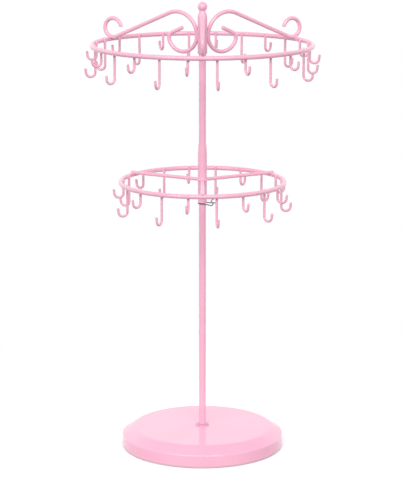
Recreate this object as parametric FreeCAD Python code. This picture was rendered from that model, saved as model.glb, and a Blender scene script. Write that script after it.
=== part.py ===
import FreeCAD, Part
import math
import os

from FreeCAD import Vector

# Two-tier turning stand for necklaces. Lengths are in millimetres and angles in degrees.
# The origin is the middle of the base's underside, +Z is up and -Y is the front.
# A bearing is an angle about the pole, counted from the front towards +X.

# Base: a pressed steel shell over an iron weight, with a foam pad underneath
base_radius = 81.3
base_height = 20.0
base_bevel_width = 11.5
base_bevel_drop = 6.8
base_edge_radius = 2.2
base_shoulder_radius = 9.0
base_sheet = 1.2
base_rim_lift = 0.5
pad_thickness = 2.0
pad_clearance = 0.3
pad_edge_radius = 0.6
weight_wall_gap = 9.0
weight_thickness = 5.5
weight_boss_radius = 16.0
weight_web = 5.9
weight_edge_radius = 1.0

# Screw that holds the shell, the weight and the pole together
screw_diameter = 4.0
screw_flange_diameter = 11.0
screw_flange_thickness = 1.2
screw_head_diameter = 7.6
screw_head_height = 2.4
screw_head_edge_radius = 0.8
screw_hold = 12.0
screw_tip_room = 2.0
screw_clearance = 0.05
screw_passage_clearance = 0.2
screw_pocket_clearance = 1.0

# Pole and the flat collar at its foot
pole_diameter = 7.0
pole_length = 413.3
pole_dome = 1.6
pole_foot_chamfer = 0.4
collar_diameter = 13.4
collar_thickness = 0.9
collar_edge_radius = 0.35

# Fits on the pole
running_clearance = 0.08
pivot_clearance = 0.1
seat_clearance = 0.02

# Spring clip: hard wire sprung round the pole, with a straight tang behind and a bent finger in front
clip_height = 249.8
clip_wire_diameter = 1.1
clip_grip_clearance = 0.06
clip_wrap = 204.0
clip_tang_length = 14.2
clip_knee_radius = 3.0
clip_droop = 15.0
clip_leg_length = 7.3
clip_loop_radius = 1.6
clip_loop_turn = 150.0
clip_loop_rise = 1.4
clip_tip_radius = 1.1
clip_tip_turn = 104.0
clip_tip_length = 3.4
clip_end_radius = 0.25
clip_lift = 0.1

# Lower tier: a sleeve on the pole, three straight spokes and a ring
sleeve_diameter = 9.0
sleeve_length = 50.2
sleeve_taper_length = 8.8
sleeve_lip = 0.3
sleeve_edge_radius = 0.4
spoke_diameter = 3.6
spoke_height = 23.4
spoke_end_inset = 0.8
spoke_end_radius = 0.5
lower_ring_radius = 81.4
lower_ring_wire = 4.5

# Upper tier: a blind hub on the pole's end, three scrolls and a ring
hub_diameter = 9.4
hub_bore_depth = 35.3
hub_straight_length = 37.8
hub_shoulder_length = 3.6
hub_shoulder_radius = 8.0
hub_neck_diameter = 6.4
hub_neck_length = 1.4
hub_edge_radius = 0.8
ball_diameter = 9.4
ball_stud_diameter = 3.0
ball_stud_length = 3.6
upper_ring_radius = 108.4
upper_ring_wire = 4.6

# Scroll of one upper arm, bent from round wire in an upright plane
scroll_wire = 4.0
scroll_seat_height = 17.2
scroll_top_radius = 22.9
scroll_slope = 23.3
scroll_curl_radius = 9.4
scroll_curl_turn = 286.0
scroll_curl_inset = 4.9
scroll_bottom_radius = 16.2
scroll_bottom_turn = 160.0
scroll_small_radius = 6.0
scroll_tip_rise = 24.6
scroll_tip_length = 13.6
scroll_end_radius = 0.7

# Hooks: J-bent wire on the inner side of each ring, long and short in turn
hook_wire = 2.5
hook_top_height = 2.0
hook_short_drop = 17.2
hook_long_drop = 30.7
hook_bend_radius = 4.6
hook_lean = 7.0
hook_tip_length = 4.4
hook_end_radius = 0.5
upper_hook_count = 24
lower_hook_count = 18

# Welds: how deep each wire is pressed into the piece that carries it
hook_weld_depth = 0.6
scroll_weld_depth = 0.9
spoke_weld_depth = 1.7
hub_weld_depth = 0.35

# Arms of each tier, and the end of every cutting tool past what it cuts
arm_count = 3
overrun = 1.0

axis_up = Vector(0, 0, 1)
axis_foot = Vector(0, 0, 0)
front_angle = -90.0
half_turn = 180.0
quarter_turn = 90.0
full_turn = 360.0


def at(reach, height):
    """A point in the arm's plane, at this distance from the pole's axis."""
    return Vector(reach, 0, height)


def heading(angle):
    """A direction in the arm's plane: 0 points outwards and 90 points up."""
    return Vector(math.cos(math.radians(angle)), 0, math.sin(math.radians(angle)))


def corner_arc(begin, corner, end):
    """The arc that is tangent at both ends to the lines that meet in the corner."""
    chord_middle = (begin + end) * 0.5
    depth = chord_middle.distanceToPoint(corner)
    side = begin.distanceToPoint(corner)
    half_chord = begin.distanceToPoint(chord_middle)
    crown = corner + (chord_middle - corner) * (side * (side - half_chord) / depth ** 2)
    return Part.Arc(begin, crown, end).toShape()


def rounded_run(corners):
    """Edges along the given (point, radius) corners, each rounded to its radius."""
    edges = []
    last = corners[0][0]
    for (before, _), (corner, radius), (after, _) in zip(corners, corners[1:], corners[2:]):
        if radius == 0:
            edges.append(Part.LineSegment(last, corner).toShape())
            last = corner
            continue
        inward = (before - corner).normalize()
        outward = (after - corner).normalize()
        tangent = radius / math.tan(inward.getAngle(outward) / 2)
        begin = corner + inward * tangent
        end = corner + outward * tangent
        edges.append(Part.LineSegment(last, begin).toShape())
        edges.append(corner_arc(begin, corner, end))
        last = end
    edges.append(Part.LineSegment(last, corners[-1][0]).toShape())
    return edges


def turned(outline):
    """A solid turned about the pole's axis from (reach, height, corner radius) points."""
    corners = [(at(reach, height), radius) for reach, height, radius in outline]
    corners.append(corners[0])
    return Part.Face(Part.Wire(rounded_run(corners))).revolve(axis_foot, axis_up, full_turn)


def bend_wire(point, angle, moves):
    """Edges of a wire fed straight or bent in the arm's plane; a bend to the left is positive."""
    edges = []
    for kind, size, turn in moves:
        if kind == "feed":
            end = point + heading(angle) * size
            edges.append(Part.LineSegment(point, end).toShape())
        else:
            side = math.copysign(quarter_turn, turn)
            centre = point + heading(angle + side) * size
            crown = centre - heading(angle + side + turn / 2) * size
            end = centre - heading(angle + side + turn) * size
            edges.append(Part.Arc(point, crown, end).toShape())
            angle += turn
        point = end
    return edges


def round_wire(edges, diameter):
    """A round wire along joined edges."""
    path = Part.Wire(Part.__sortEdges__(edges))
    first = path.OrderedEdges[0]
    begin = path.OrderedVertexes[0].Point
    along = first.tangentAt(first.getParameterByLength(0))
    section = Part.Wire(Part.makeCircle(diameter / 2, begin, along))
    return path.makePipeShell([section], True, False)


def with_round_ends(wire, radius):
    """The wire with the rims of its two cut ends rounded."""
    ends = [face for face in wire.Faces if isinstance(face.Surface, Part.Plane)]
    return wire.makeFillet(radius, [edge for face in ends for edge in face.Edges])


def at_bearing(shape, bearing):
    """A copy of a shape made in the arm's plane, carried round the pole to its bearing."""
    return shape.rotated(axis_foot, axis_up, bearing + front_angle)


def ring_seat(radius, wire, height):
    """The space that a ring fills, with the clearance of a coped seat around it."""
    return Part.makeTorus(radius, wire / 2 + seat_clearance, at(0, height))


def post_seat(diameter, bottom, top):
    """The space that an upright tube fills, with the clearance of a coped seat around it."""
    return Part.makeCylinder(diameter / 2 + seat_clearance, top - bottom, at(0, bottom))


# Heights of the stack on the pole
shell_underside = base_height - base_sheet
screw_seat = shell_underside - weight_web
pole_bottom = base_height + collar_thickness
pole_top = pole_bottom + pole_length
hub_bottom = pole_top + pivot_clearance - hub_bore_depth
bore_radius = pole_diameter / 2 + running_clearance


def base_shell():
    outline = [
        (0, base_rim_lift, 0),
        (base_radius, base_rim_lift, 0),
        (base_radius, base_height - base_bevel_drop, base_edge_radius),
        (base_radius - base_bevel_width, base_height, base_shoulder_radius),
        (0, base_height, 0),
    ]
    block = turned(outline)
    underside = min(block.Faces, key=lambda face: face.CenterOfMass.z)
    shell = block.makeThickness([underside], -base_sheet, Part.Precision.confusion())
    hole = screw_diameter / 2 + screw_passage_clearance
    return shell.cut(Part.makeCylinder(hole, base_sheet + 2 * overrun, at(0, shell_underside - overrun)))


def base_pad():
    radius = base_radius - base_sheet - pad_clearance
    return turned([
        (0, 0, 0),
        (radius, 0, pad_edge_radius),
        (radius, pad_thickness, pad_edge_radius),
        (0, pad_thickness, 0),
    ])


def base_weight():
    radius = base_radius - base_sheet - weight_wall_gap
    rim_top = pad_thickness + weight_thickness
    pocket = screw_flange_diameter / 2 + screw_pocket_clearance
    hole = screw_diameter / 2 + screw_passage_clearance
    return turned([
        (pocket, pad_thickness, 0),
        (radius, pad_thickness, weight_edge_radius),
        (radius, rim_top, weight_edge_radius),
        (weight_boss_radius, rim_top, weight_edge_radius),
        (weight_boss_radius, shell_underside, weight_edge_radius),
        (hole, shell_underside, 0),
        (hole, screw_seat, 0),
        (pocket, screw_seat, 0),
    ])


def base_screw():
    head_bottom = screw_seat - screw_flange_thickness - screw_head_height
    flange_bottom = screw_seat - screw_flange_thickness
    tip = pole_bottom + screw_hold
    return turned([
        (0, head_bottom, 0),
        (screw_head_diameter / 2, head_bottom, screw_head_edge_radius),
        (screw_head_diameter / 2, flange_bottom, 0),
        (screw_flange_diameter / 2, flange_bottom, 0),
        (screw_flange_diameter / 2, screw_seat, 0),
        (screw_diameter / 2, screw_seat, 0),
        (screw_diameter / 2, tip, 0),
        (0, tip, 0),
    ])


def foot_collar():
    hole = screw_diameter / 2 + screw_passage_clearance
    return turned([
        (hole, base_height, 0),
        (collar_diameter / 2, base_height, 0),
        (collar_diameter / 2, pole_bottom, collar_edge_radius),
        (hole, pole_bottom, 0),
    ])


def pole():
    radius = pole_diameter / 2
    hole = screw_diameter / 2 + screw_clearance
    hole_end = pole_bottom + screw_hold + screw_tip_room
    dome_radius = (radius ** 2 + pole_dome ** 2) / (2 * pole_dome)
    dome_centre = at(0, pole_top - dome_radius)
    shoulder = at(radius, pole_top - pole_dome)
    rim_angle = math.degrees(math.atan2(shoulder.z - dome_centre.z, radius))
    crown = dome_centre + heading((rim_angle + quarter_turn) / 2) * dome_radius
    corners = [
        at(0, hole_end),
        at(hole, hole_end),
        at(hole, pole_bottom),
        at(radius - pole_foot_chamfer, pole_bottom),
        at(radius, pole_bottom + pole_foot_chamfer),
        shoulder,
    ]
    edges = [Part.LineSegment(a, b).toShape() for a, b in zip(corners, corners[1:])]
    edges.append(Part.Arc(shoulder, crown, at(0, pole_top)).toShape())
    edges.append(Part.LineSegment(at(0, pole_top), corners[0]).toShape())
    return Part.Face(Part.Wire(edges)).revolve(axis_foot, axis_up, full_turn)


# Spring clip: its legs lean towards each other past the pole, so that it can't slip off sideways
clip_radius = pole_diameter / 2 + clip_grip_clearance + clip_wire_diameter / 2
clip_lean = (clip_wrap - half_turn) / 2


def clip_leg(side, moves):
    """Edges of one leg, bent in its upright plane: side 1 touches the pole in front and -1 behind."""
    edges = bend_wire(at(0, clip_height), 0, moves)
    touch = Vector(0, -side * clip_radius, 0)
    return [edge.translated(touch).rotated(axis_foot, axis_up, side * clip_lean) for edge in edges]


def spring_clip():
    half_wrap = clip_wrap / 2
    begin = half_turn - half_wrap
    end = half_turn + half_wrap
    loop = Part.makeCircle(clip_radius, at(0, clip_height), axis_up, begin, end)
    tang = clip_leg(-1, [("feed", clip_tang_length, 0)])
    finger = clip_leg(1, [
        ("bend", clip_knee_radius, -clip_droop),
        ("feed", clip_leg_length, 0),
        ("bend", clip_loop_radius, clip_loop_turn),
        ("feed", clip_loop_rise, 0),
        ("bend", clip_tip_radius, -clip_tip_turn),
        ("feed", clip_tip_length, 0),
    ])
    return with_round_ends(round_wire(tang + [loop] + finger, clip_wire_diameter), clip_end_radius)


# Lower tier
sleeve_bottom = clip_height + clip_wire_diameter / 2 + clip_lift
sleeve_top = sleeve_bottom + sleeve_length + sleeve_taper_length
spoke_level = sleeve_bottom + spoke_height
lower_ring_level = spoke_level - spoke_diameter / 2 - lower_ring_wire / 2 + spoke_weld_depth


def lower_sleeve():
    return turned([
        (bore_radius, sleeve_bottom, 0),
        (sleeve_diameter / 2, sleeve_bottom, sleeve_edge_radius),
        (sleeve_diameter / 2, sleeve_bottom + sleeve_length, 0),
        (bore_radius + sleeve_lip, sleeve_top, 0),
        (bore_radius, sleeve_top, 0),
    ])


def lower_spoke():
    end = lower_ring_radius + lower_ring_wire / 2 - spoke_end_inset
    rod = Part.makeCylinder(spoke_diameter / 2, end, at(0, spoke_level), heading(0))
    outer_face = max(rod.Faces, key=lambda face: face.CenterOfMass.x)
    rod = rod.makeFillet(spoke_end_radius, outer_face.Edges)
    post = post_seat(sleeve_diameter, sleeve_bottom, sleeve_bottom + sleeve_length)
    return rod.cut([post, ring_seat(lower_ring_radius, lower_ring_wire, lower_ring_level)])


# Upper tier: each scroll is bent both ways from the place where it meets the hub
scroll_root = hub_diameter / 2 + scroll_wire / 2 - hub_weld_depth
scroll_level = hub_bottom + scroll_seat_height
scroll_rise = math.radians(scroll_slope)
curl_reach = upper_ring_radius - scroll_curl_inset
curl_offset = scroll_top_radius + scroll_curl_radius
run_reach = curl_reach - scroll_root - scroll_top_radius - curl_offset * math.sin(scroll_rise)
scroll_run = run_reach / math.cos(scroll_rise)
curl_level = scroll_level + curl_offset * math.cos(scroll_rise) - scroll_run * math.sin(scroll_rise)
curl_to_ring = scroll_curl_radius + scroll_wire / 2 + upper_ring_wire / 2 - scroll_weld_depth
upper_ring_level = curl_level - math.sqrt(curl_to_ring ** 2 - scroll_curl_inset ** 2)
neck_top = hub_bottom + hub_straight_length + hub_shoulder_length + hub_neck_length


def upper_hub():
    stud_hole = ball_stud_diameter / 2 + screw_clearance
    straight_top = hub_bottom + hub_straight_length
    bore_end = hub_bottom + hub_bore_depth
    stud_end = neck_top - ball_stud_length - screw_clearance
    body = turned([
        (0, bore_end, 0),
        (bore_radius, bore_end, 0),
        (bore_radius, hub_bottom, 0),
        (hub_diameter / 2, hub_bottom, hub_edge_radius),
        (hub_diameter / 2, straight_top, hub_shoulder_radius),
        (hub_neck_diameter / 2, straight_top + hub_shoulder_length, 0),
        (hub_neck_diameter / 2, neck_top, 0),
        (0, neck_top, 0),
    ])
    return body.cut(Part.makeCylinder(stud_hole, neck_top + overrun - stud_end, at(0, stud_end)))


def finial_ball():
    radius = ball_diameter / 2
    centre = neck_top + math.sqrt(radius ** 2 - (hub_neck_diameter / 2) ** 2)
    ball = Part.makeSphere(radius, at(0, centre))
    below_neck = Part.makeCylinder(ball_diameter, ball_diameter, at(0, neck_top - ball_diameter))
    stud_foot = at(0, neck_top - ball_stud_length)
    stud = Part.makeCylinder(ball_stud_diameter / 2, ball_stud_length + radius, stud_foot)
    return ball.cut(below_neck).fuse(stud).removeSplitter()


def upper_scroll():
    root = at(scroll_root, scroll_level)
    small_turn = half_turn - scroll_tip_rise - (scroll_bottom_turn - quarter_turn)
    up = bend_wire(root, quarter_turn, [
        ("bend", scroll_top_radius, -quarter_turn - scroll_slope),
        ("feed", scroll_run, 0),
        ("bend", scroll_curl_radius, scroll_curl_turn),
    ])
    down = bend_wire(root, -quarter_turn, [
        ("bend", scroll_bottom_radius, scroll_bottom_turn),
        ("bend", scroll_small_radius, small_turn),
        ("feed", scroll_tip_length, 0),
    ])
    wire = with_round_ends(round_wire(up + down, scroll_wire), scroll_end_radius)
    post = post_seat(hub_diameter, hub_bottom, hub_bottom + hub_straight_length)
    return wire.cut([post, ring_seat(upper_ring_radius, upper_ring_wire, upper_ring_level)])


def hook(ring_radius, ring_wire, ring_level, drop):
    """A J hook in the arm's plane, coped to the inner side of its ring."""
    reach = ring_radius - ring_wire / 2 - hook_wire / 2 + hook_weld_depth
    bend_level = ring_level - drop + hook_wire / 2 + hook_bend_radius
    top = ring_level + hook_top_height
    edges = bend_wire(at(reach, top), -quarter_turn, [
        ("feed", top - bend_level, 0),
        ("bend", hook_bend_radius, half_turn - hook_lean),
        ("feed", hook_tip_length, 0),
    ])
    wire = with_round_ends(round_wire(edges, hook_wire), hook_end_radius)
    return wire.cut(ring_seat(ring_radius, ring_wire, ring_level))


def hooks(name, count, ring_radius, ring_wire, ring_level):
    """The hooks of one ring by name, with the arms midway between two of them."""
    shapes = [hook(ring_radius, ring_wire, ring_level, drop) for drop in (hook_long_drop, hook_short_drop)]
    step = full_turn / count
    return {"%s_%02d" % (name, i + 1): at_bearing(shapes[i % 2], (i + 0.5) * step) for i in range(count)}


def arms(name, shape):
    """The arms of one tier by name, the first at the front."""
    step = full_turn / arm_count
    return {"%s_%d" % (name, i + 1): at_bearing(shape, i * step) for i in range(arm_count)}


pieces = {
    "base_shell": base_shell(),
    "base_weight": base_weight(),
    "base_pad": base_pad(),
    "base_screw": base_screw(),
    "foot_collar": foot_collar(),
    "pole": pole(),
    "spring_clip": spring_clip(),
    "lower_sleeve": lower_sleeve(),
    "lower_ring": Part.makeTorus(lower_ring_radius, lower_ring_wire / 2, at(0, lower_ring_level)),
    "upper_hub": upper_hub(),
    "finial_ball": finial_ball(),
    "upper_ring": Part.makeTorus(upper_ring_radius, upper_ring_wire / 2, at(0, upper_ring_level)),
}
pieces.update(arms("lower_spoke", lower_spoke()))
pieces.update(arms("upper_scroll", upper_scroll()))
pieces.update(hooks("upper_hook", upper_hook_count, upper_ring_radius, upper_ring_wire, upper_ring_level))
pieces.update(hooks("lower_hook", lower_hook_count, lower_ring_radius, lower_ring_wire, lower_ring_level))

os.makedirs("parts", exist_ok=True)
for name, shape in pieces.items():
    shape.exportStep("parts/%s.step" % name)

print("pieces: %d" % len(pieces))
print("overall height: %.2f mm" % max(shape.BoundBox.ZMax for shape in pieces.values()))
print("ring levels: %.2f and %.2f mm" % (lower_ring_level, upper_ring_level))
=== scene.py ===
import math

import bmesh
import bpy
from mathutils import Matrix, Vector, noise


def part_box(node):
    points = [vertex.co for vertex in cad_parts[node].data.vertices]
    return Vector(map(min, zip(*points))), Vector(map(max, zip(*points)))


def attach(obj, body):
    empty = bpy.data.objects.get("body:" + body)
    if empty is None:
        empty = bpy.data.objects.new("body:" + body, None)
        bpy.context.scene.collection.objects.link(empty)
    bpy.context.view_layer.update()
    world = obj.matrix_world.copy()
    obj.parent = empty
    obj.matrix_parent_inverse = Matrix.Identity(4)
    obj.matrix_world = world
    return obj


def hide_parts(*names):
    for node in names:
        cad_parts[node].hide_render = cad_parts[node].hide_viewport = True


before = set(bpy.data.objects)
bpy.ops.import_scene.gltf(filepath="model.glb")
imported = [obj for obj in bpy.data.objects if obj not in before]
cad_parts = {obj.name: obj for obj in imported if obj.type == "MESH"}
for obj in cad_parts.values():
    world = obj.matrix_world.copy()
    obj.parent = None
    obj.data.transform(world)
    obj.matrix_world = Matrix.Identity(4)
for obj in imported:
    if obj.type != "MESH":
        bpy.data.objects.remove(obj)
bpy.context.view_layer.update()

# Foam pad: a disc of closed-cell foam, die-cut from sheet and stuck under the base.
# The stand's weight squeezes it, so its cut edge bellies out between its two skinned faces.
pad_low, pad_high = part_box("base_pad")
pad_radius = pad_high.x
pad_thickness = pad_high.z - pad_low.z
pad_segments = 160
pad_edge_cuts = 5
pad_bulge = 0.0005
foam_colour = (0.045, 0.045, 0.05, 1.0)
foam_pore_colour = (0.018, 0.018, 0.02, 1.0)
foam_cell = 0.0007
foam_cell_span = (0.0, 0.8)
foam_cell_depth = 0.00012
foam_pore_span = (0.1, 0.6)
foam_roughness = (0.95, 0.8)
foam_shine = 0.3


def fill_inputs(tree, node, inputs):
    """Sets each input of a node to its value, or links it where a socket is given."""
    for key, value in inputs.items():
        if isinstance(value, bpy.types.NodeSocket):
            tree.links.new(value, node.inputs[key])
        else:
            node.inputs[key].default_value = value


def put(tree, kind, inputs, **settings):
    """A new node of that kind with its settings and inputs."""
    node = tree.nodes.new(kind)
    for key, value in settings.items():
        setattr(node, key, value)
    fill_inputs(tree, node, inputs)
    return node


def new_material(name):
    """A material by that name, with its node tree and its Principled shader."""
    material = bpy.data.materials.new(name)
    material.use_nodes = True
    return material, material.node_tree, material.node_tree.nodes["Principled BSDF"]


def own_place(tree):
    """The socket that gives a surface point in the piece's own coordinates, in metres."""
    return put(tree, "ShaderNodeTexCoord", {}).outputs["Object"]


def blend_colours(tree, share, first, second):
    """The socket of a colour that goes from the first to the second as the share rises."""
    # A Mix node's sockets for colours are its inputs 6 and 7 and its output 2.
    return put(tree, "ShaderNodeMix", {0: share, 6: first, 7: second}, data_type="RGBA").outputs[2]


def stretch(tree, value, given, wanted):
    """The socket of a value carried over from a given span to a wanted one, and held at its ends."""
    ends = {"From Min": given[0], "From Max": given[1], "To Min": wanted[0], "To Max": wanted[1]}
    return put(tree, "ShaderNodeMapRange", {"Value": value, **ends}).outputs["Result"]


def raised(tree, height, depth):
    """The socket of a normal that follows a height of 0 to 1 over this depth in metres."""
    return put(tree, "ShaderNodeBump", {"Height": height, "Distance": depth}).outputs["Normal"]


def pad_foam():
    """Black foam with fine cells, darker in its pores."""
    material, tree, shader = new_material("pad_foam")
    cells = {"Vector": own_place(tree), "Scale": 1 / foam_cell}
    cell = put(tree, "ShaderNodeTexVoronoi", cells).outputs["Distance"]
    pore = stretch(tree, cell, foam_pore_span, (1.0, 0.0))
    fill_inputs(tree, shader, {
        "Base Color": blend_colours(tree, pore, foam_colour, foam_pore_colour),
        "Roughness": stretch(tree, cell, foam_cell_span, foam_roughness),
        "Normal": raised(tree, cell, foam_cell_depth),
        "Specular IOR Level": foam_shine,
    })
    return material


def add_object(name, data):
    """An object of a mesh, a lamp or a camera, put in the scene."""
    thing = bpy.data.objects.new(name, data)
    bpy.context.scene.collection.objects.link(thing)
    return thing


def add_mesh(name, mesh, material):
    """An object made of a finished mesh, smooth and in one material."""
    data = bpy.data.meshes.new(name)
    mesh.to_mesh(data)
    mesh.free()
    data.shade_smooth()
    data.materials.append(material)
    return add_object(name, data)


def add_piece(name, mesh, material, body):
    """A new piece of the stand that rides on a body."""
    piece = add_mesh(name, mesh, material)
    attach(piece, body)
    return piece


pad_mesh = bmesh.new()
bmesh.ops.create_circle(pad_mesh, cap_ends=True, segments=pad_segments, radius=pad_radius - pad_bulge)
lifted = bmesh.ops.extrude_face_region(pad_mesh, geom=pad_mesh.faces[:], use_keep_orig=True)
lifted_verts = [part for part in lifted["geom"] if isinstance(part, bmesh.types.BMVert)]
bmesh.ops.translate(pad_mesh, verts=lifted_verts, vec=(0, 0, pad_thickness))
upright_edges = [edge for edge in pad_mesh.edges if edge.verts[0].co.z != edge.verts[1].co.z]
bmesh.ops.subdivide_edges(pad_mesh, edges=upright_edges, cuts=pad_edge_cuts)
for vert in pad_mesh.verts:
    belly = math.sin(math.pi * vert.co.z / pad_thickness)
    vert.co.xy *= 1 + belly * pad_bulge / (pad_radius - pad_bulge)
    vert.co.z += pad_low.z
bmesh.ops.recalc_face_normals(pad_mesh, faces=pad_mesh.faces[:])
pad = add_piece("foam_pad", pad_mesh, pad_foam(), "stand")
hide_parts("base_pad")

# Weight: an iron casting inside the base that keeps the loaded tiers from tipping.
# It is left as it came from the sand, grey and grainy, with a film of dark oxide.
iron_colour = (0.15, 0.15, 0.152, 1.0)
oxide_colour = (0.07, 0.066, 0.064, 1.0)
oxide_patch = 0.02
oxide_octaves = 5.0
oxide_span = (0.4, 0.65)
sand_grain = 0.0009
sand_octaves = 4.0
sand_depth = 0.00025
iron_roughness = (0.6, 0.85)
iron_metal = 0.8
cloud_span = (0.3, 0.7)


def give_finish(material, *names):
    """Gives CAD nodes that material."""
    for name in names:
        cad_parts[name].material_slots[0].material = material


def clouds(tree, place, scale, octaves):
    """The socket of a noise with so many clouds to a metre. Most of it lies in the cloud span."""
    settings = {"Vector": place, "Scale": scale, "Detail": octaves}
    return put(tree, "ShaderNodeTexNoise", settings).outputs["Fac"]


def cast_iron():
    """Grainy grey iron with patches of oxide."""
    material, tree, shader = new_material("cast_iron")
    place = own_place(tree)
    grain = clouds(tree, place, 1 / sand_grain, sand_octaves)
    oxide = stretch(tree, clouds(tree, place, 1 / oxide_patch, oxide_octaves), oxide_span, (0.0, 1.0))
    fill_inputs(tree, shader, {
        "Base Color": blend_colours(tree, oxide, iron_colour, oxide_colour),
        "Roughness": stretch(tree, grain, cloud_span, iron_roughness),
        "Normal": raised(tree, grain, sand_depth),
        "Metallic": iron_metal,
    })
    return material


give_finish(cast_iron(), "base_weight")

# Screw: a flanged steel screw up through the weight, the shell and the collar into the pole.
# It is cold headed and bright zinc plated, with fine rings left by the die.
zinc_colour = (0.66, 0.67, 0.69, 1.0)
zinc_dull_colour = (0.5, 0.51, 0.54, 1.0)
zinc_bloom = 0.003
zinc_octaves = 4.0
zinc_roughness = (0.25, 0.45)
die_ring = 0.00035
die_ring_depth = 0.00001
die_ring_waver = 0.4


def zinc_plate():
    """Bright plate with a dull bloom and rings about the screw's axis."""
    material, tree, shader = new_material("zinc_plate")
    place = own_place(tree)
    bloom = clouds(tree, place, 1 / zinc_bloom, zinc_octaves)
    rings = {"Vector": place, "Scale": 1 / die_ring / math.tau, "Distortion": die_ring_waver}
    ring = put(tree, "ShaderNodeTexWave", rings, wave_type="RINGS", rings_direction="Z").outputs["Fac"]
    fill_inputs(tree, shader, {
        "Base Color": blend_colours(tree, bloom, zinc_colour, zinc_dull_colour),
        "Roughness": stretch(tree, bloom, cloud_span, zinc_roughness),
        "Normal": raised(tree, ring, die_ring_depth),
        "Metallic": 1.0,
    })
    return material


give_finish(zinc_plate(), "base_screw")

# Base shell: a disc of sheet steel pressed into a shallow cap with a sloping shoulder.
# It has a thick gloss powder coat, baked on, which shows the pole in its flat top.
# Handling has worn the gloss of its wall, and a greyer band along the foot of its rim is painted shade
# where it meets the table.
pink = (0.93, 0.475, 0.625, 1.0)
deep_pink = (0.915, 0.45, 0.6, 1.0)
film_octaves = 3.0
film_index = 1.5
film_shine = 0.15
peel_octaves = 1.0
clear_roughness = 0.08
shell_finish = {
    "film": 0.045,
    "peel": 0.0026,
    "peel_depth": 0.000007,
    "roughness": 0.2,
    "haze": 0.05,
    "clear": 0.85,
}
wall_height = 0.0115
wall_fade = 0.0008
wall_clear = 0.5
# The lowest band of the shell is painted greyer, as shade where the rim meets the table.
foot_shade_height = 0.0017
foot_shade_fade = 0.0006
foot_shade_colour = (0.66, 0.43, 0.5, 1.0)


def new_group(name, inputs, outputs):
    """A shader node group with its input and output nodes, from socket names and kinds."""
    group = bpy.data.node_groups.new(name, "ShaderNodeTree")
    for socket, kind in inputs.items():
        group.interface.new_socket(socket, in_out="INPUT", socket_type=kind)
    for socket, kind in outputs.items():
        group.interface.new_socket(socket, in_out="OUTPUT", socket_type=kind)
    return group, group.nodes.new("NodeGroupInput").outputs, group.nodes.new("NodeGroupOutput")


def powder_coat_group():
    """Baked powder: a film of uneven depth, a fine peel, and a haze where the film is deep."""
    value, colour = "NodeSocketFloat", "NodeSocketColor"
    inputs = {
        "Colour": colour,
        "Deep Colour": colour,
        "Film Scale": value,
        "Peel Scale": value,
        "Least Roughness": value,
        "Haze": value,
    }
    outputs = {"Colour": colour, "Roughness": value, "Height": value}
    group, given, result = new_group("powder_coat", inputs, outputs)
    place = own_place(group)
    film = clouds(group, place, given["Film Scale"], film_octaves)
    depth = stretch(group, film, cloud_span, (0.0, 1.0))
    blur = {0: depth, 1: given["Haze"], 2: given["Least Roughness"]}
    fill_inputs(group, result, {
        "Colour": blend_colours(group, depth, given["Colour"], given["Deep Colour"]),
        "Roughness": put(group, "ShaderNodeMath", blur, operation="MULTIPLY_ADD").outputs[0],
        "Height": clouds(group, place, given["Peel Scale"], peel_octaves),
    })
    return group


powder_coat = powder_coat_group()


def powder_coated(name, film, peel, peel_depth, roughness, haze, clear, colours=(pink, deep_pink)):
    """A powder-coated finish. Its film's clouds, its peel and the peel's depth are sizes in metres."""
    material, tree, shader = new_material(name)
    coat = put(tree, "ShaderNodeGroup", {}, node_tree=powder_coat)
    fill_inputs(tree, coat, {
        "Colour": colours[0],
        "Deep Colour": colours[1],
        "Film Scale": 1 / film,
        "Peel Scale": 1 / peel,
        "Least Roughness": roughness,
        "Haze": haze,
    })
    fill_inputs(tree, shader, {
        "Base Color": coat.outputs["Colour"],
        "Roughness": coat.outputs["Roughness"],
        "Normal": raised(tree, coat.outputs["Height"], peel_depth),
        "IOR": film_index,
        "Specular IOR Level": film_shine,
        "Coat Weight": clear,
        "Coat Roughness": clear_roughness,
    })
    return material


def by_height(tree, level, fade, under, over):
    """The socket of a value that goes softly from one under a level of the piece to another over it."""
    height = put(tree, "ShaderNodeSeparateXYZ", {0: own_place(tree)}).outputs["Z"]
    return stretch(tree, height, (level - fade, level + fade), (under, over))


def worn_and_shaded_shell_paint():
    """The shell's coat, with less clear gloss on its wall and a painted shade along the foot of its rim.
    """
    material = powder_coated("shaded_shell_coat", **shell_finish)
    tree = material.node_tree
    shader = tree.nodes["Principled BSDF"]
    coat_colour = shader.inputs["Base Color"].links[0].from_socket
    # Painted shade: the foot of the rim turns greyer, as the shade where it meets the table.
    foot_shade = by_height(tree, foot_shade_height, foot_shade_fade, 1.0, 0.0)
    fill_inputs(tree, shader, {
        "Base Color": blend_colours(tree, foot_shade, coat_colour, foot_shade_colour),
        "Coat Weight": by_height(tree, wall_height, wall_fade, wall_clear, shell_finish["clear"]),
    })
    return material


give_finish(worn_and_shaded_shell_paint(), "base_shell")

# Collar and pole: a thin washer and a steel rod that the screw draws down onto the base.
# Both are coated before they are put together. The washer is matt, and its pink is painted darker as the
# shade round the rod's foot.
# The washer's darker pinks are painted shade, the contact shadow round the foot of the rod.
shaded_collar_pink = (0.74, 0.4, 0.54, 1.0)
shaded_collar_deep_pink = (0.7, 0.37, 0.5, 1.0)
pole_finish = {
    "film": 0.03,
    "peel": 0.0018,
    "peel_depth": 0.000006,
    "roughness": 0.36,
    "haze": 0.06,
    "clear": 1.0,
}
shaded_collar_finish = {
    **pole_finish,
    "roughness": 0.5,
    "clear": 0.2,
    "colours": (shaded_collar_pink, shaded_collar_deep_pink),
}

give_finish(powder_coated("shaded_collar_coat", **shaded_collar_finish), "foot_collar")
give_finish(powder_coated("pole_coat", **pole_finish), "pole")

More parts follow.
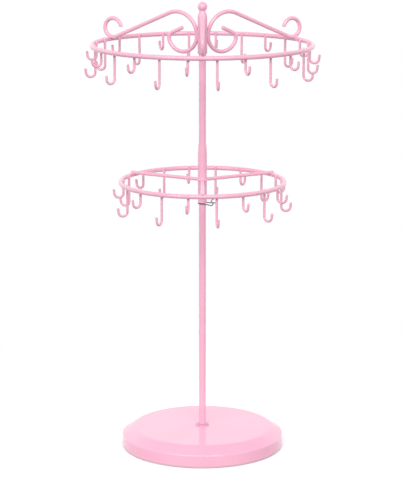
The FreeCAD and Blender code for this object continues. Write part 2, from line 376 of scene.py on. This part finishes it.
# Spring clip: a length of hard drawn wire, sprung round the pole to carry the lower tier.
# It is bare steel, with fine marks left by drawing and a faint straw tint from tempering.
steel_colour = (0.2, 0.2, 0.21, 1.0)
tempered_colour = (0.17, 0.155, 0.14, 1.0)
temper_patch = 0.004
temper_octaves = 2.0
temper_span = (0.45, 0.8)
draw_mark = 0.0002
draw_mark_octaves = 2.0
draw_mark_depth = 0.000004
steel_roughness = (0.16, 0.3)


def spring_wire():
    """Dark bare wire with a straw tint in patches."""
    material, tree, shader = new_material("spring_wire")
    place = own_place(tree)
    tint = stretch(tree, clouds(tree, place, 1 / temper_patch, temper_octaves), temper_span, (0.0, 1.0))
    mark = clouds(tree, place, 1 / draw_mark, draw_mark_octaves)
    fill_inputs(tree, shader, {
        "Base Color": blend_colours(tree, tint, steel_colour, tempered_colour),
        "Roughness": stretch(tree, mark, cloud_span, steel_roughness),
        "Normal": raised(tree, mark, draw_mark_depth),
        "Metallic": 1.0,
    })
    return material


give_finish(spring_wire(), "spring_clip")

# Lower tier: a tube that turns on the pole, three rods and a ring, all welded and then coated as one.
# A run of braze flares out round the tube over the rods' inner ends. Their outer ends lie on the ring.
wire_finish = {
    "film": 0.02,
    "peel": 0.0014,
    "peel_depth": 0.000005,
    "roughness": 0.3,
    "haze": 0.08,
    "clear": 1.0,
}
full_turn = math.tau
arm_count = 3
arm_bearings = [full_turn * arm / arm_count for arm in range(arm_count)]
sleeve_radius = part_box("lower_sleeve")[1].x
spoke_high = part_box("lower_spoke_1")[1]
spoke_radius = spoke_high.x
spoke_level = spoke_high.z - spoke_radius
skirt_drop = 0.0008
skirt_rise = 0.0034
skirt_run = 0.0012
skirt_lip = 0.0004
skirt_root = 0.0004
skirt_steps = 6
skirt_segments = 96
spoke_bead_radii = (0.0023, 0.0022, 0.0009)
bead_fineness = 3
bead_unevenness = 0.12
bead_ripple = 1.7


def arm_nodes(name):
    """The names of the nodes of a tier's arms, numbered from 1."""
    return [f"{name}_{arm + 1}" for arm in range(arm_count)]


def ring_sizes(node):
    """The radius, the wire's radius and the level of a ring of round wire."""
    low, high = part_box(node)
    wire_radius = (high.z - low.z) / 2
    return high.x - wire_radius, wire_radius, (high.z + low.z) / 2


def on_arm(bearing, reach, level):
    """A place at a bearing from the front, with X pointing away from the pole and Z up."""
    turn = Matrix.Rotation(bearing - full_turn / 4, 4, "Z")
    return turn @ Matrix.Translation((reach, 0, level))


def lay_bead(mesh, place, radii):
    """Adds one uneven lens of weld metal, with its radii along the place's own axes."""
    lens = bmesh.ops.create_icosphere(mesh, subdivisions=bead_fineness, radius=1.0)["verts"]
    for vert in lens:
        vert.co *= 1 + bead_unevenness * noise.noise(vert.co * bead_ripple + place.translation / radii[0])
    bmesh.ops.transform(mesh, matrix=place @ Matrix.Diagonal((*radii, 1.0)), verts=lens)


def lay_skirt(mesh):
    """Adds the run of braze round the tube, a hollow flare that ends a little below the rods' axes."""
    bottom = spoke_level - skirt_drop
    outline = [(sleeve_radius - skirt_root, bottom), (sleeve_radius - skirt_root, bottom + skirt_rise)]
    for step in range(skirt_steps + 1):
        angle = full_turn / 4 * step / skirt_steps
        reach = sleeve_radius + skirt_run * (1 - math.cos(angle))
        outline.append((reach, bottom + skirt_lip + (skirt_rise - skirt_lip) * (1 - math.sin(angle))))
    outline.append((sleeve_radius + skirt_run - skirt_lip, bottom))
    corners = [mesh.verts.new((reach, 0, height)) for reach, height in outline]
    edges = [mesh.edges.new(pair) for pair in zip(corners, corners[1:] + corners[:1])]
    bmesh.ops.spin(
        mesh,
        geom=corners + edges,
        axis=(0, 0, 1),
        angle=full_turn,
        steps=skirt_segments,
        use_merge=True,
    )


wire_coat = powder_coated("wire_coat", **wire_finish)
give_finish(wire_coat, "lower_sleeve", "lower_ring", *arm_nodes("lower_spoke"))
lower_radius, lower_wire, lower_level = ring_sizes("lower_ring")
spoke_welds = bmesh.new()
lay_skirt(spoke_welds)
for bearing in arm_bearings:
    lay_bead(spoke_welds, on_arm(bearing, lower_radius, lower_level + lower_wire), spoke_bead_radii)
bmesh.ops.recalc_face_normals(spoke_welds, faces=spoke_welds.faces[:])
add_piece("spoke_welds", spoke_welds, wire_coat, "lower_tier")

# Hooks of the lower ring: short lengths of wire bent to a J and spot welded to the ring's inner side.
# Long and short ones take turns, so that what hangs on them doesn't tangle.
# They are evenly spaced, and the first stands half a step round from the front.
hook_bead_radii = (0.0009, 0.0019, 0.0019)
first_hook_step = 0.5


def add_hook_welds(tier, hook_name, ring_node):
    """The spot welds between a ring and its hooks, as one piece of that tier."""
    names = sorted(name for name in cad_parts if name.startswith(hook_name))
    give_finish(wire_coat, *names)
    radius, wire, level = ring_sizes(ring_node)
    welds = bmesh.new()
    for index in range(len(names)):
        bearing = full_turn * (index + first_hook_step) / len(names)
        lay_bead(welds, on_arm(bearing, radius - wire, level), hook_bead_radii)
    add_piece(hook_name + "_welds", welds, wire_coat, tier)


add_hook_welds("lower_tier", "lower_hook", "lower_ring")

# Upper tier: a blind hub that turns on the pole's domed end, with a screwed-in ball on its top.
# The hub and the ball are turned from bar, so their coat has the shallowest peel of all.
hub_finish = {
    "film": 0.015,
    "peel": 0.0016,
    "peel_depth": 0.000004,
    "roughness": 0.36,
    "haze": 0.06,
    "clear": 1.0,
}

give_finish(powder_coated("hub_coat", **hub_finish), "upper_hub", "finial_ball")

# Scrolls: three rods, each bent in one plane from the hub out to a curl that stands on the ring.
# A seam of weld holds each to the hub, and a bead under the curl holds it to the ring.
seam_radii = (0.0009, 0.0021, 0.0062)
seam_height = 0.0172
curl_bead_radii = (0.0023, 0.0023, 0.0011)
curl_lean = math.radians(22.5)
hub_low, hub_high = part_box("upper_hub")
hub_radius = hub_high.x
seam_level = hub_low.z + seam_height
upper_radius, upper_wire, upper_level = ring_sizes("upper_ring")

give_finish(wire_coat, "upper_ring", *arm_nodes("upper_scroll"))
scroll_welds = bmesh.new()
for bearing in arm_bearings:
    lay_bead(scroll_welds, on_arm(bearing, hub_radius, seam_level), seam_radii)
    curl_foot = on_arm(bearing, upper_radius, upper_level) @ Matrix.Rotation(-curl_lean, 4, "Y")
    lay_bead(scroll_welds, curl_foot @ Matrix.Translation((0, 0, upper_wire)), curl_bead_radii)
add_piece("scroll_welds", scroll_welds, wire_coat, "upper_tier")

# Hooks of the upper ring: the same two hooks as below, on a wider ring.
# They too are spot welded to the ring's inner side before the tier is coated.
add_hook_welds("upper_tier", "upper_hook", "upper_ring")

# Studio: a white table under a soft sky, a wide softbox in front and above, and two weak fills behind.
# The table and the backdrop look white to the eye and in gloss, and the table keeps the stand's shadow.
# The room beyond the table is dim, so the undersides of the tiers stay darker than the base.
white = (1.0, 1.0, 1.0, 1.0)
black = (0.0, 0.0, 0.0, 1.0)
floor_size = 8.0
floor_drop = 0.0001
floor_near = (0.5, 0.5, 0.5, 1.0)
floor_far = (0.1, 0.1, 0.1, 1.0)
floor_glow = 0.3
floor_shadow = (0.78, 0.78, 0.78, 1.0)
shadow_span = (0.14, 0.45)
sky_light = 0.585
ceiling_span = (0.5, 0.9)
ceiling_light = 0.15
front_place = (-0.4, -3.2, 2.5)
front_size = (5.6, 1.9)
front_power = 148.0
fill_places = ((-2.6, 2.6, 1.2), (2.6, 2.6, 1.2))
fill_size = (3.0, 2.0)
fill_power = 50.0
aim = Vector((0.0, 0.0, 0.25))


def shown_ray(tree):
    """The socket that is 1 for a ray from the camera, off gloss or through glass, and else 0."""
    path = put(tree, "ShaderNodeLightPath", {}).outputs
    seen = {0: path["Is Camera Ray"], 1: path["Is Glossy Ray"]}
    seen_or_mirrored = put(tree, "ShaderNodeMath", seen, operation="MAXIMUM").outputs[0]
    every = {0: seen_or_mirrored, 1: path["Is Transmission Ray"]}
    return put(tree, "ShaderNodeMath", every, operation="MAXIMUM").outputs[0]


def table_white():
    """White to look at, with a shadow near the stand, and dim in the light that it throws back."""
    material, tree, shader = new_material("table_white")
    tree.nodes.remove(shader)
    away = put(tree, "ShaderNodeVectorMath", {0: own_place(tree)}, operation="LENGTH").outputs["Value"]
    far = stretch(tree, away, shadow_span, (0.0, 1.0))
    glow_light = stretch(tree, away, shadow_span, (floor_glow, 1.0))
    shade_colour = blend_colours(tree, far, floor_shadow, black)
    lit_colour = blend_colours(tree, far, floor_near, floor_far)
    lit = put(tree, "ShaderNodeBsdfDiffuse", {"Color": lit_colour}).outputs[0]
    glow = put(tree, "ShaderNodeEmission", {"Color": white, "Strength": glow_light}).outputs[0]
    shade = put(tree, "ShaderNodeBsdfDiffuse", {"Color": shade_colour}).outputs[0]
    shown = put(tree, "ShaderNodeAddShader", {0: glow, 1: shade}).outputs[0]
    surface = put(tree, "ShaderNodeMixShader", {0: shown_ray(tree), 1: lit, 2: shown}).outputs[0]
    fill_inputs(tree, tree.nodes["Material Output"], {"Surface": surface})
    return material


def soft_sky():
    """A world of even light, which shows as a white backdrop under a dim ceiling."""
    world = bpy.data.worlds.new("soft_sky")
    world.use_nodes = True
    tree = world.node_tree
    direction = put(tree, "ShaderNodeTexCoord", {}).outputs["Generated"]
    upward = put(tree, "ShaderNodeSeparateXYZ", {0: direction}).outputs["Z"]
    backdrop_light = stretch(tree, upward, ceiling_span, (1.0, ceiling_light))
    sky = put(tree, "ShaderNodeBackground", {"Color": white, "Strength": sky_light}).outputs[0]
    backdrop = put(tree, "ShaderNodeBackground", {"Color": white, "Strength": backdrop_light}).outputs[0]
    surface = put(tree, "ShaderNodeMixShader", {0: shown_ray(tree), 1: sky, 2: backdrop}).outputs[0]
    fill_inputs(tree, tree.nodes["World Output"], {"Surface": surface})
    return world


def add_softbox(name, place, size, power, shine):
    """A rectangular lamp at a place, turned to the stand, that shows in gloss where it is to shine."""
    lamp = bpy.data.lights.new(name, "AREA")
    lamp.shape = "RECTANGLE"
    lamp.size, lamp.size_y = size
    lamp.energy = power
    holder = add_object(name, lamp)
    holder.location = place
    holder.visible_glossy = shine
    holder.rotation_euler = (aim - Vector(place)).to_track_quat("-Z", "Y").to_euler()


floor_mesh = bmesh.new()
bmesh.ops.create_grid(floor_mesh, x_segments=1, y_segments=1, size=floor_size / 2)
bmesh.ops.translate(floor_mesh, verts=floor_mesh.verts[:], vec=(0, 0, -floor_drop))
add_mesh("table", floor_mesh, table_white())

bpy.context.scene.world = soft_sky()
add_softbox("front_softbox", front_place, front_size, front_power, True)
for place in fill_places:
    add_softbox("fill_softbox", place, fill_size, fill_power, False)

# Camera: far off and a little above the stand, with a long lens, as in a shop's picture.
# The focal length is in pixels of the picture, and the film lies along its longer side, the height.
eye = (-0.00142, -2.026, 0.639)
tilt_down = math.radians(11.92)
picture_height = 482
focal_length = 2071
film_height = 36.0

camera_data = bpy.data.cameras.new("camera")
camera_data.sensor_width = film_height
camera_data.lens = film_height * focal_length / picture_height
camera = add_object("camera", camera_data)
camera.location = eye
camera.rotation_euler = (full_turn / 4 - tilt_down, 0, 0)
bpy.context.scene.camera = camera
bpy.context.scene.view_settings.view_transform = "Standard"
